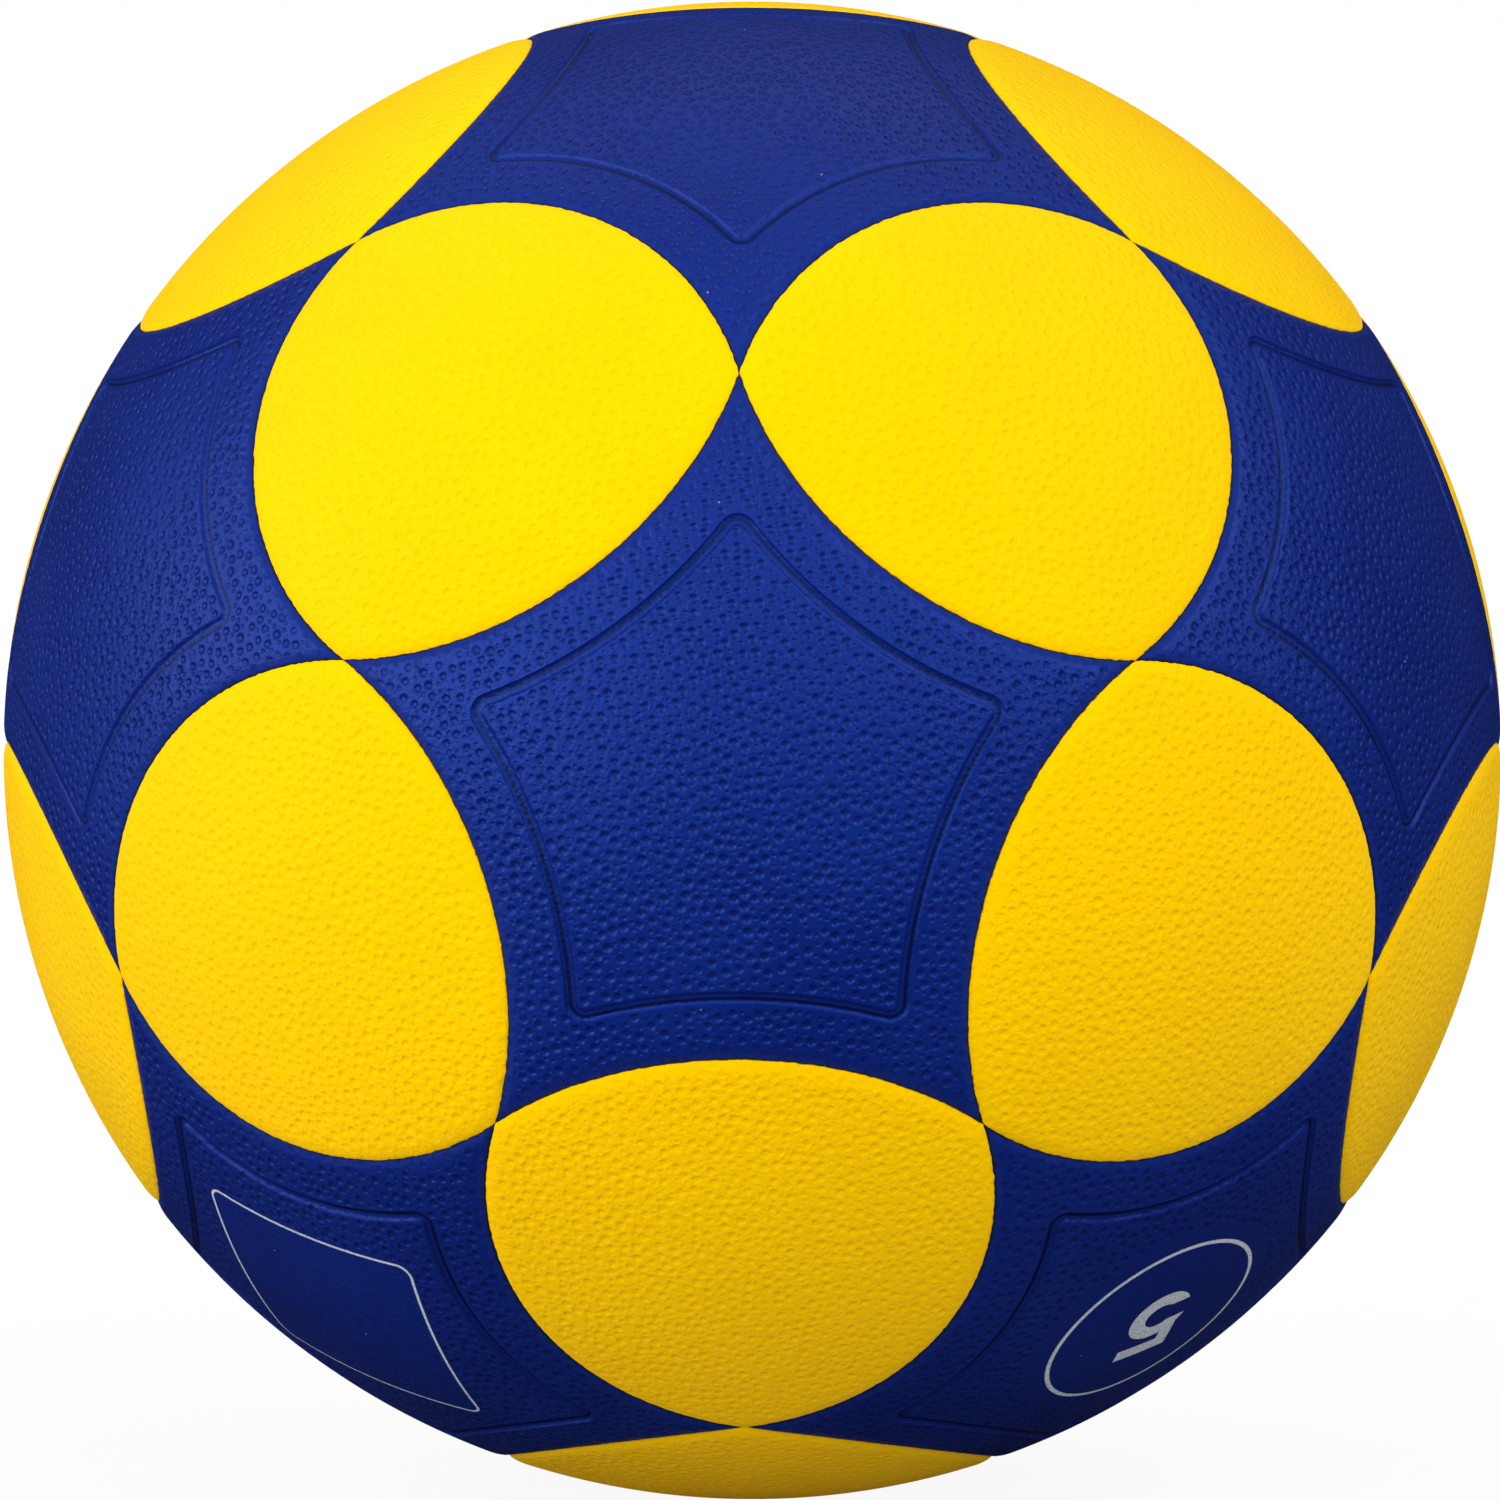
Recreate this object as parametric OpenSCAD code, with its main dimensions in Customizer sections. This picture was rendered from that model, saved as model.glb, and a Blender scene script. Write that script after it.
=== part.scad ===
// Korfball match ball: moulded rubber star and petal panels over a thread-wound casing.
// The origin is the middle of the ball, +Z is up, and +Y runs out through the valve.
// The star that faces the viewer looks along -Y, with one of its points up.

/* [Ball] */
// Diameter over the cover
ball_d = 220; // [200:1:240]
// Thickness of the cover panels
cover_t = 1.5; // [1.1:0.1:2.4]
// Width of the seam between neighbouring panels
seam_gap = 0.2; // [0.1:0.05:0.5]
// How far a petal's edge bows out from the straight line between its corners
edge_bow = 13.4; // [9:0.1:17]
// Width of the slope that each panel has along its edges
edge_slope_w = 2.2; // [0.8:0.1:3]
// Angle of that slope to the ball's surface
edge_slope_a = 12; // [6:1:18]
// How far a star's points stop short of the corner between two petals
tip_trim = 0.7; // [0.4:0.1:1.5]

/* [Star groove] */
// Distance from a star panel's edge to its groove
groove_inset = 8.7; // [5:0.1:12]
// Width of the groove along the edges
groove_w = 1.8; // [1:0.1:3]
// Width of the groove across its blunt tips
groove_tip_w = 2.2; // [1.4:0.1:3.4]
// Depth of the groove
groove_h = 0.45; // [0.2:0.05:0.9]
// Distance from the middle of the star to the groove's tips
groove_reach = 39.4; // [35:0.1:43]

/* [Casing] */
// Thickness of the rubber carcass under the cover
carcass_t = 0.5; // [0.3:0.05:1]
// Thickness of the wound thread layer
winding_t = 0.35; // [0.2:0.05:0.8]
// Thickness of the bladder wall
bladder_t = 0.55; // [0.4:0.05:1]
// Bond line between one layer and the next
bond_gap = 0.1; // [0.05:0.05:0.3]

/* [Valve] */
// Outer diameter of the valve's stem
stem_d = 9; // [7.6:0.1:12]
// Gap round the stem where it passes through the layers
stem_gap = 0.2; // [0.1:0.05:0.5]
// Length of the stem
stem_len = 16; // [15:0.5:24]
// How far the stem's face lies below the cover
stem_sink = 0.3; // [0.1:0.1:0.8]
// Diameter of the flange that is bonded inside the bladder
flange_d = 28; // [18:1:40]
// Thickness of that flange
flange_t = 1.2; // [0.8:0.1:2.5]

/* [Valve core] */
// Diameter of the core's shank
core_d = 4.8; // [4:0.1:5.6]
// Diameter of the core's head
core_head_d = 6.2; // [5.9:0.1:6.8]
// Thickness of the core's head
core_head_t = 1.2; // [0.8:0.1:2]
// Length of the core with its head
core_len = 14; // [12:0.5:14.4]
// How far the core's head lies below the stem's face
core_sink = 0.2; // [0.1:0.05:0.5]
// Running clearance between the core and the stem, on the radius
core_fit = 0.05; // [0.02:0.01:0.1]
// Length of the tapered tip
core_tip_len = 3; // [2:0.5:4]
// Diameter of the tapered tip's end
core_tip_d = 3.2; // [2.8:0.1:3.8]
// Diameter of the hole for the pump needle
needle_bore_d = 2.1; // [1.8:0.1:2.4]
// Depth of that hole below the core's head
needle_depth = 9; // [6:0.5:10.5]
// Depth of the funnel that leads the needle in
funnel_h = 0.8; // [0.4:0.1:1.2]
// Diameter of the funnel's mouth
funnel_d = 3.6; // [3:0.1:4.2]
// Width of the slit that closes behind the needle
slit_w = 0.2; // [0.1:0.05:0.4]
// Length of the slit across the tip
slit_len = 2; // [1.2:0.1:2.4]

/* [Hidden] */
$fn = 144;
margin = 10;
hole_rim = 0.5;
blue = [0.13, 0.2, 0.58];
yellow = [0.98, 0.84, 0.04];

// Radii of the layers, from the cover inwards
ball_r = ball_d / 2;
cover_ri = ball_r - cover_t;
carcass_ro = cover_ri - bond_gap;
carcass_ri = carcass_ro - carcass_t;
winding_ro = carcass_ri - bond_gap;
winding_ri = winding_ro - winding_t;
bladder_ro = winding_ri - bond_gap;
bladder_ri = bladder_ro - bladder_t;
flange_ro = bladder_ri - bond_gap;
flange_ri = flange_ro - flange_t;
stem_hole_d = stem_d + 2 * stem_gap;
cut_hi = ball_r + margin;
foot_r = ball_r - edge_slope_w * tan(edge_slope_a);

// Heights along the valve's axis, from the middle of the ball
stem_top = ball_r - stem_sink;
stem_end = stem_top - stem_len;
core_top = stem_top - core_sink;
core_seat = core_top - core_head_t;
core_end = core_top - core_len;
needle_end = core_top - needle_depth;

// Angles at the middle of the ball between the stars, the petals and the corners where they meet
star_star = atan(2);
star_petal = atan(3 - sqrt(5));
star_corner = star_star / 2;
petal_corner = atan((3 - sqrt(5)) / 2);
straight_edge = atan(tan(petal_corner) * cos(60));

// Each edge is a circle on the ball: its axis lies past the petal's middle, seen from the star
function arc(len) = len / ball_r * 180 / PI;
bowed_edge = straight_edge + arc(edge_bow);
axis_shift = atan((cos(bowed_edge) - cos(petal_corner)) / (sin(bowed_edge) - sin(petal_corner) / 2));
edge_a = bowed_edge + axis_shift;
star_edge_a = edge_a + arc(seam_gap / 2);
petal_edge_a = edge_a - arc(seam_gap / 2);
groove_a = edge_a + arc(groove_inset);

// Each panel is [name, tilt from the front star, turn about the Y axis from the top, spin on its middle]
function ring(label, tilt, turn, spin) =
    [for (k = [0:4]) [str(label, "_", k + 1), tilt, turn + 72 * k, spin]];
valve_panel = ["star_panel_valve", 180, 0, 0];
STARS = concat(
    [["star_panel_front", 0, 0, 0]],
    ring("star_panel_front_ring", star_star, 0, 180),
    ring("star_panel_back_ring", 180 - star_star, 36, 0),
    [valve_panel]
);
PETALS = concat(
    ring("petal_panel_front", star_petal, 36, 180),
    ring("petal_panel_front_belt", star_petal + 2 * petal_corner, 36, 0),
    ring("petal_panel_back_belt", 180 - star_petal - 2 * petal_corner, 0, 180),
    ring("petal_panel_back", 180 - star_petal, 0, 0)
);

// Stands a shape that was drawn round +Z at a panel's place
module place(p) {
    rotate([90, 0, 0])
        rotate([0, 0, -p[2]])
            rotate([-p[1], 0, 0])
                rotate([0, 0, p[3]])
                    children();
}

module ball_shell(ro, ri) {
    rotate([0, 90, 0])
        difference() {
            sphere(ro);
            sphere(ri);
        }
}

// Sphere that meets the ball's surface squarely along a circle of the given angle round +Z
module edge_ball(a) {
    translate([0, 0, ball_r / cos(a)])
        sphere(ball_r * tan(a));
}

// Sphere that slopes down from a circle on the surface to a circle at the seam, both round +Z
module slope_ball(head_a, foot_a) {
    fall = ball_r * cos(head_a) - foot_r * cos(foot_a);
    mid_z = (ball_r * ball_r - foot_r * foot_r) / (2 * fall);
    translate([0, 0, mid_z])
        sphere(sqrt(ball_r * ball_r + mid_z * mid_z - 2 * ball_r * mid_z * cos(head_a)));
}

// Turns +Z to the axis of one of the five edge circles round a star
module to_star_edge(k) {
    rotate([0, 0, 36 + 72 * k])
        rotate([-star_petal - axis_shift, 0, 0])
            children();
}

// Turns +Z to the axis of one of the three edge circles of a petal
module to_petal_edge(k) {
    rotate([0, 0, 120 * k])
        rotate([axis_shift, 0, 0])
            children();
}

// Star cut out of a shell, edge by edge, with its five points trimmed at a distance from its middle
module star_slab(ro, ri, cut_a, reach_a, edges = 5) {
    if (edges == 0)
        intersection() {
            ball_shell(ro, ri);
            edge_ball(reach_a);
        }
    else
        difference() {
            star_slab(ro, ri, cut_a, reach_a, edges - 1);
            to_star_edge(edges)
                edge_ball(cut_a);
        }
}

// Star with the slope along its edges
module sloped_star(edges = 5) {
    if (edges == 0)
        star_slab(ball_r, cover_ri, star_edge_a, star_corner - arc(tip_trim));
    else
        intersection() {
            sloped_star(edges - 1);
            to_star_edge(edges)
                slope_ball(star_edge_a + arc(edge_slope_w), star_edge_a);
        }
}

// Petal cut out of a shell, edge by edge, each edge with its slope
module sloped_petal(edges = 3) {
    if (edges == 0)
        ball_shell(ball_r, cover_ri);
    else
        intersection() {
            sloped_petal(edges - 1);
            to_petal_edge(edges)
                edge_ball(petal_edge_a);
            to_petal_edge(edges)
                slope_ball(petal_edge_a - arc(edge_slope_w), petal_edge_a);
        }
}

module star_groove() {
    floor_r = ball_r - groove_h;
    inner_a = groove_a + arc(groove_w);
    inner_reach = groove_reach - groove_tip_w;
    difference() {
        star_slab(ball_r + margin / 2, floor_r, groove_a, arc(groove_reach));
        star_slab(ball_r + margin, floor_r - groove_h, inner_a, arc(inner_reach));
    }
}

module valve_hole() {
    cylinder(h = cut_hi, d = stem_hole_d);
    translate([0, 0, ball_r - hole_rim])
        cylinder(h = margin, d1 = stem_hole_d, d2 = stem_hole_d + 2 * margin);
}

module star_panel(p) {
    color(blue)
        place(p)
            difference() {
                sloped_star();
                star_groove();
                if (p == valve_panel)
                    valve_hole();
            }
}

module petal_panel(p) {
    color(yellow)
        place(p)
            sloped_petal();
}

// Closed layer of the casing with the hole that the valve's stem passes through
module layer(ro, ri) {
    difference() {
        ball_shell(ro, ri);
        place(valve_panel)
            cylinder(h = cut_hi, d = stem_hole_d);
    }
}

module rubber_carcass() {
    color("tan")
        layer(carcass_ro, carcass_ri);
}

module thread_winding() {
    color("ivory")
        layer(winding_ro, winding_ri);
}

module bladder() {
    color("dimgray")
        layer(bladder_ro, bladder_ri);
}

module valve_stem() {
    color([0.1, 0.14, 0.36])
        place(valve_panel)
            difference() {
                union() {
                    translate([0, 0, stem_end])
                        cylinder(h = stem_len, d = stem_d);
                    intersection() {
                        ball_shell(flange_ro, flange_ri);
                        cylinder(h = ball_r, d = flange_d);
                    }
                }
                cylinder(h = cut_hi, r = core_d / 2 + core_fit);
                translate([0, 0, core_seat - core_fit])
                    cylinder(h = margin, r = core_head_d / 2 + core_fit);
            }
}

module valve_core() {
    color([0.12, 0.12, 0.13])
        place(valve_panel)
            difference() {
                rotate_extrude()
                    polygon([
                        [0, core_end],
                        [core_tip_d / 2, core_end],
                        [core_d / 2, core_end + core_tip_len],
                        [core_d / 2, core_seat],
                        [core_head_d / 2, core_seat],
                        [core_head_d / 2, core_top],
                        [0, core_top]
                    ]);
                translate([0, 0, needle_end])
                    cylinder(h = margin, d = needle_bore_d);
                translate([0, 0, core_top - funnel_h])
                    cylinder(h = 2 * funnel_h, d1 = needle_bore_d, d2 = 2 * funnel_d - needle_bore_d);
                translate([-slit_len / 2, -slit_w / 2, core_end - margin])
                    cube([slit_len, slit_w, needle_end - core_end + margin + slit_len / 2]);
            }
}

bladder();
thread_winding();
rubber_carcass();
valve_stem();
valve_core();
for (p = STARS)
    star_panel(p);
for (p = PETALS)
    petal_panel(p);
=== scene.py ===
# %% [markdown]
# # A korfball match ball, panel by panel
#
# A korfball is a thread-wound casing with a cover of moulded rubber: twelve blue five-point stars and
# twenty yellow petals. In this lesson each panel becomes a closed mesh of its own, with rolled edges,
# about two thousand small pits and, on the stars, a pressed groove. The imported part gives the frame: it
# is in metres, the middle of the ball is the origin, and a new piece is modelled right where it
# belongs.

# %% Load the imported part
import math

import bmesh
import bpy
import numpy as np
from mathutils import Matrix, Vector, kdtree, noise


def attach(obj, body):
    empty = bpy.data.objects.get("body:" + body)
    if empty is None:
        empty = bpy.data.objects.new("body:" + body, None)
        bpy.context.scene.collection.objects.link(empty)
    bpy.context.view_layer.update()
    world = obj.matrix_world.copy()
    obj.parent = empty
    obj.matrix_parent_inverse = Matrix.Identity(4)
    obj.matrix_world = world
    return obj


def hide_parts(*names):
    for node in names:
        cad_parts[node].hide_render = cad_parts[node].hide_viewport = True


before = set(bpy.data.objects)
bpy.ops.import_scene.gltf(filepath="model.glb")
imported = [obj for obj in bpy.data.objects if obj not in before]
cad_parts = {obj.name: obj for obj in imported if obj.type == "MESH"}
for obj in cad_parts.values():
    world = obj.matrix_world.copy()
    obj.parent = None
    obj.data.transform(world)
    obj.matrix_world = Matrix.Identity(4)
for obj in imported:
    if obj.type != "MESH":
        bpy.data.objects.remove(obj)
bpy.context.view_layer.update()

# %% [markdown]
# ## The pattern
#
# The panels follow a solid that has twelve five-sided and twenty three-sided faces, so every angle
# comes from the square root of five. Each seam is a circle on the ball. A circle on a ball is cut by a
# plane, and that is why the panels can be made later by slicing a sphere: no outline has to be typed
# in.

# %% Angles of the seams
MM = 0.001
BALL_R = 110 * MM
EDGE_BOW = 13.4 * MM                     # how far a petal's edge stands out from the straight line
STAR_TO_STAR = math.atan(2)
STAR_TO_PETAL = math.atan(3 - math.sqrt(5))
STAR_TO_CORNER = STAR_TO_STAR / 2
PETAL_TO_CORNER = math.atan((3 - math.sqrt(5)) / 2)

straight_edge = math.atan(math.tan(PETAL_TO_CORNER) / 2)
bowed_edge = straight_edge + EDGE_BOW / BALL_R
AXIS_SHIFT = math.atan((math.cos(bowed_edge) - math.cos(PETAL_TO_CORNER))
                       / (math.sin(bowed_edge) - math.sin(PETAL_TO_CORNER) / 2))
SEAM_ANGLE = bowed_edge + AXIS_SHIFT
print("seam circles:", round(math.degrees(SEAM_ANGLE), 2), "degrees, shifted",
      round(math.degrees(AXIS_SHIFT), 2))


def seam_axes(count, first_turn, tilt):
    """Axes of the circles that the edges of a panel round +Z lie on, one to a row."""
    rows = []
    for k in range(count):
        turn = Matrix.Rotation(first_turn + k * math.tau / count, 3, "Z")
        rows.append(turn @ Matrix.Rotation(-tilt, 3, "X") @ Vector((0, 0, 1)))
    return np.array(rows)


STAR_AXES = seam_axes(5, math.radians(36), STAR_TO_PETAL + AXIS_SHIFT)
PETAL_AXES = seam_axes(3, 0, -AXIS_SHIFT)

# %% [markdown]
# A panel is modelled once, round +Z, and then turned to its place. Its place is a tilt away from the
# star that faces the viewer, a turn round the ball and a spin on its own middle. The names are those of
# the CAD nodes.

# %% Where the panels go


def placed(tilt, turn, spin):
    """Turns something modelled round +Z to its place on the ball. Turn and spin are in degrees."""
    return (Matrix.Rotation(math.radians(90), 3, "X")
            @ Matrix.Rotation(math.radians(-turn), 3, "Z")
            @ Matrix.Rotation(-tilt, 3, "X")
            @ Matrix.Rotation(math.radians(spin), 3, "Z"))


def panel_ring(label, tilt, turn, spin):
    return {f"{label}_{k + 1}": placed(tilt, turn + 72 * k, spin) for k in range(5)}


BELT = STAR_TO_PETAL + 2 * PETAL_TO_CORNER
STARS = {
    "star_panel_front": placed(0, 0, 0),
    **panel_ring("star_panel_front_ring", STAR_TO_STAR, 0, 180),
    **panel_ring("star_panel_back_ring", math.pi - STAR_TO_STAR, 36, 0),
    "star_panel_valve": placed(math.pi, 0, 0),
}
PETALS = {
    **panel_ring("petal_panel_front", STAR_TO_PETAL, 36, 180),
    **panel_ring("petal_panel_front_belt", BELT, 36, 0),
    **panel_ring("petal_panel_back_belt", math.pi - BELT, 0, 180),
    **panel_ring("petal_panel_back", math.pi - STAR_TO_PETAL, 0, 0),
}
print(len(STARS), "stars and", len(PETALS), "petals")

# %% [markdown]
# ## Camera
#
# The photograph was taken with a long lens from a little above the middle of the ball. A long lens
# keeps the panels at the rim nearly as large as those in the middle.

# %% Camera
CAMERA_AWAY = 1.492
CAMERA_RIGHT = math.radians(1.12)
CAMERA_UP = math.radians(3.26)
LENS_MM, SENSOR_MM = 243.1, 36
FARTHEST_SEEN = 50
aim = Vector((-0.34 * MM, 0, 0.05 * MM))

lens = bpy.data.cameras.new("long_lens")
lens.lens = LENS_MM
lens.sensor_width = SENSOR_MM
lens.clip_end = FARTHEST_SEEN
camera = bpy.data.objects.new("camera", lens)
camera.location = CAMERA_AWAY * Vector((math.sin(CAMERA_RIGHT) * math.cos(CAMERA_UP),
                                        -math.cos(CAMERA_RIGHT) * math.cos(CAMERA_UP),
                                        math.sin(CAMERA_UP)))
camera.rotation_euler = (aim - camera.location).to_track_quat("-Z", "Y").to_euler()
bpy.context.collection.objects.link(camera)
bpy.context.scene.camera = camera
bpy.context.scene.view_settings.view_transform = "Standard"
print("camera at", [round(x, 3) for x in camera.location])

# %% [markdown]
# ## The skin of a panel
#
# A panel could be a low mesh with a bump texture, but then its rim would stay smooth and the model
# would have no pits. Here it is a patch of a fine ball of triangles. The coarse faces that are far from
# the panel go first, because splitting only what is needed keeps this quick. One star and one petal are
# enough to begin with: all thirty-two panels will be pressed from them.

# %% A fine patch of the ball
COARSE_SPLITS = 5
FINE_CUTS = 13
PATCH_SPARE = math.radians(5)             # the patch reaches this much past the panel


def ball_patch(reach):
    """Fine skin of the ball round +Z, out to an angle."""
    bm = bmesh.new()
    bmesh.ops.create_icosphere(bm, subdivisions=COARSE_SPLITS, radius=BALL_R)
    lowest = BALL_R * math.cos(reach + PATCH_SPARE)
    far = [f for f in bm.faces if f.calc_center_median().z < lowest]
    bmesh.ops.delete(bm, geom=far, context="FACES")
    bmesh.ops.subdivide_edges(bm, edges=bm.edges[:], cuts=FINE_CUTS, use_grid_fill=True)
    for v in bm.verts:
        v.co *= BALL_R / v.co.length
    return bm


star_skin = ball_patch(STAR_TO_CORNER)
petal_skin = ball_patch(PETAL_TO_CORNER)
print("patches:", len(star_skin.faces), "faces for a star,", len(petal_skin.faces), "for a petal")

# %% [markdown]
# `bisect_plane` slices the patch along each seam circle and throws away what is outside. It keeps a
# vertex that is almost on the plane as it is, so the cut is moved onto the true circle. A hair's
# breadth is left between the panels, because two walls in one place would flicker.

# %% Slice out a star and a petal
SEAM_GAP = 0.12 * MM
SNAP = 0.03 * MM                          # a vertex this close to a cut is moved onto it


def slice_along(bm, axis, angle, faces=None, **clear):
    """Cuts the skin along a circle round an axis, all of it or only the given faces."""
    if faces is None:
        geom = [*bm.verts, *bm.edges, *bm.faces]
    else:
        geom = [*{v for f in faces for v in f.verts}, *{e for f in faces for e in f.edges}, *faces]
    axis = Vector(axis)
    middle = axis * BALL_R * math.cos(angle)
    cut = bmesh.ops.bisect_plane(bm, geom=geom, dist=SNAP * math.sin(angle),
                                 plane_no=axis, plane_co=middle, **clear)
    for v in cut["geom_cut"]:
        if isinstance(v, bmesh.types.BMVert):
            out = v.co - v.co.project(axis)
            v.co = middle + out.normalized() * BALL_R * math.sin(angle)


for axis in STAR_AXES:
    slice_along(star_skin, axis, SEAM_ANGLE + SEAM_GAP / 2 / BALL_R, clear_outer=True)
for axis in PETAL_AXES:
    slice_along(petal_skin, axis, SEAM_ANGLE - SEAM_GAP / 2 / BALL_R, clear_inner=True)
print("sliced:", len(star_skin.faces), "faces in a star,", len(petal_skin.faces), "in a petal")

# %% [markdown]
# The same operator, without throwing anything away, scores lines into the skin. A scored line is a row
# of vertices along the foot or the top of a slope, so a slope that is narrower than a triangle still
# comes out crisp. The rubber rolls down towards a seam, and three lines beside each seam are there for
# that.

# %% Score lines beside the seams
SEAM_LINES = np.array([0.18, 0.5, 1.1]) * MM
STRIP_HALF = 1.2 * MM                     # only faces this close to a line are scored
STAR_SIDE, PETAL_SIDE = 1, -1             # a star lies outside its seam circles, a petal inside
measured_mesh = bpy.data.meshes.new("measured")


def face_middles(bm):
    """Middles of all faces, one to a row. A mesh hands out its numbers much faster than a bmesh."""
    bm.to_mesh(measured_mesh)
    middles = np.empty(3 * len(bm.faces), np.float32)
    measured_mesh.polygons.foreach_get("center", middles)
    return middles.reshape(-1, 3)


def seam_distances(points, axes, side):
    """How far points lie inside each seam of a panel, along the surface."""
    unit = points / np.linalg.norm(points, axis=1, keepdims=True)
    return side * (np.arccos(np.clip(unit @ axes.T, -1, 1)) - SEAM_ANGLE) * BALL_R


def score_seams(bm, axes, side):
    """Scores the lines that run beside the seams."""
    for line in SEAM_LINES:
        inside = seam_distances(face_middles(bm), axes, side)
        nearest = inside.argmin(1)
        close = np.abs(inside.min(1) - line) < STRIP_HALF
        faces = np.array(bm.faces[:], object)
        for k, axis in enumerate(axes):
            strip = faces[close & (nearest == k)].tolist()
            slice_along(bm, axis, SEAM_ANGLE + side * line / BALL_R, strip)


score_seams(star_skin, STAR_AXES, STAR_SIDE)
score_seams(petal_skin, PETAL_AXES, PETAL_SIDE)
print("scored:", len(star_skin.faces), "faces in a star,", len(petal_skin.faces), "in a petal")

# %% [markdown]
# ## The groove in a star
#
# Inside its edge each star has a smaller star pressed into it as a groove. The groove keeps the same
# distance from the seam all the way round, apart from its five tips, which are round. A round tip is a
# circle on the ball again, about a point on the tip's middle line, so it can be scored with planes too.

# %% Middles of the round tips
TIP_INSET = 11.1 * MM                     # how far inside the seams the middle of a round tip lies
GROOVE_LINES = np.array([8.4, 8.55, 8.85, 9.9, 10.15, 10.4]) * MM   # inside the seams
GROOVE_FALL = np.array([0, 0.33, 0.52, 0.46, 0.16, 0]) * MM         # how deep the groove is there

tilt_of_axes = STAR_TO_PETAL + AXIS_SHIFT
across, along = math.sin(tilt_of_axes) * math.cos(math.radians(36)), math.cos(tilt_of_axes)
swing = math.acos(math.cos(SEAM_ANGLE + TIP_INSET / BALL_R) / math.hypot(across, along))
tip_reach = math.atan2(across, along) - swing
TIP_TURNS = [math.radians(90 + 72 * k) for k in range(5)]
TIPS = np.array([[math.sin(tip_reach) * math.cos(t), math.sin(tip_reach) * math.sin(t),
                  math.cos(tip_reach)] for t in TIP_TURNS])
POINTS = np.array([[math.sin(STAR_TO_CORNER) * math.cos(t), math.sin(STAR_TO_CORNER) * math.sin(t),
                    math.cos(STAR_TO_CORNER)] for t in TIP_TURNS])
print("groove tips reach", round((tip_reach * BALL_R + TIP_INSET - GROOVE_LINES[0]) / MM, 1), "mm")

# %% [markdown]
# Beyond the middle of a tip the distance is taken from that middle, and elsewhere from the nearest
# seam. Both agree where they meet, so the groove runs round its tips without a kink.

# %% Distance that bends round the tips


def tip_fans(points):
    """Which points lie beyond the middle of each round tip, one column to a tip."""
    fans = []
    for tip, point in zip(TIPS, POINTS):
        near_axes = STAR_AXES[np.argsort(-STAR_AXES @ tip)[:2]]
        sides = np.cross(near_axes, tip)
        fans.append(((points @ sides.T) * np.sign(sides @ point) > 0).all(1))
    return np.array(fans).T


def groove_distances(points):
    """Distance inside the seam that bends round the tips as the groove does."""
    inside = seam_distances(points, STAR_AXES, STAR_SIDE).min(1)
    unit = points / np.linalg.norm(points, axis=1, keepdims=True)
    for tip, fan in zip(TIPS, tip_fans(points).T):
        inside[fan] = TIP_INSET - np.arccos(np.clip(unit[fan] @ tip, -1, 1)) * BALL_R
    return inside


# %% [markdown]
# The groove has a steep outer wall and a softer inner one. A bump could draw it, but a bump casts no
# shadow, so every line of its section is scored. Only the top of the steep wall is marked as a sharp
# edge.

# %% Score the groove


def sharpen(bm, line):
    """Marks the edges along one line of the groove as sharp, so that light breaks there."""
    bm.verts.index_update()
    points = np.array([v.co for v in bm.verts])
    on_line = np.abs(groove_distances(points) - line) < SNAP / 2
    for e in bm.edges:
        if on_line[e.verts[0].index] and on_line[e.verts[1].index]:
            e.smooth = False


def score_groove(bm):
    """Scores all lines of the groove, straight beside the seams and round at the tips."""
    for line in GROOVE_LINES:
        middles = face_middles(bm)
        close = np.abs(groove_distances(middles) - line) < STRIP_HALF
        nearest = seam_distances(middles, STAR_AXES, STAR_SIDE).argmin(1)
        fans = tip_fans(middles)
        faces = np.array(bm.faces[:], object)
        for k, axis in enumerate(STAR_AXES):
            strip = faces[close & (nearest == k) & ~fans.any(1)].tolist()
            slice_along(bm, axis, SEAM_ANGLE + line / BALL_R, strip)
        for tip, fan in zip(TIPS, fans.T):
            slice_along(bm, tip, (TIP_INSET - line) / BALL_R, faces[close & fan].tolist())
    sharpen(bm, GROOVE_LINES[0])


score_groove(star_skin)
print("star with its groove:", len(star_skin.faces), "faces")

# %% [markdown]
# The star at the back carries the valve, so it is a copy of the star with a hole. The hole is opened by
# deleting the small faces round the pole and drawing the jagged rim out to a true circle.

# %% Hole for the valve
VALVE_HOLE_R = 4.7 * MM


def open_valve_hole(bm):
    """Opens the hole in the middle of a star's skin and returns its rim."""
    inner = [f for f in bm.faces if f.calc_center_median().xy.length < VALVE_HOLE_R]
    bmesh.ops.delete(bm, geom=inner, context="FACES")
    rim = [e for e in bm.edges if e.is_boundary and e.verts[0].co.xy.length < 2 * VALVE_HOLE_R]
    for v in {v for e in rim for v in e.verts}:
        v.co.xy *= VALVE_HOLE_R / v.co.xy.length
        v.co.z = math.sqrt(BALL_R**2 - VALVE_HOLE_R**2)
    return rim


valve_star_skin = star_skin.copy()
valve_hole = open_valve_hole(valve_star_skin)
print("hole for the valve:", len(valve_hole), "edges round it")

# %% [markdown]
# ## Closing a panel
#
# The skin becomes a solid sheet of rubber: its rim is extruded down to the back of the cover, and from
# there gathered towards the middle in a few rings. Solidify would do this as well, but it would give
# the hidden back as many triangles as the front.

# %% Wall and back of a panel
COVER_T = 1.5 * MM
BACK_R = BALL_R - COVER_T
BACK_STEP = 8 * MM


def pulled(bm, loop, move):
    """Extrudes a loop of edges, moves the new loop and returns it."""
    made = bmesh.ops.extrude_edge_only(bm, edges=loop)["geom"]
    for v in made:
        if isinstance(v, bmesh.types.BMVert):
            v.co = move(v.co)
    return [e for e in made if isinstance(e, bmesh.types.BMEdge)]


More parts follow.
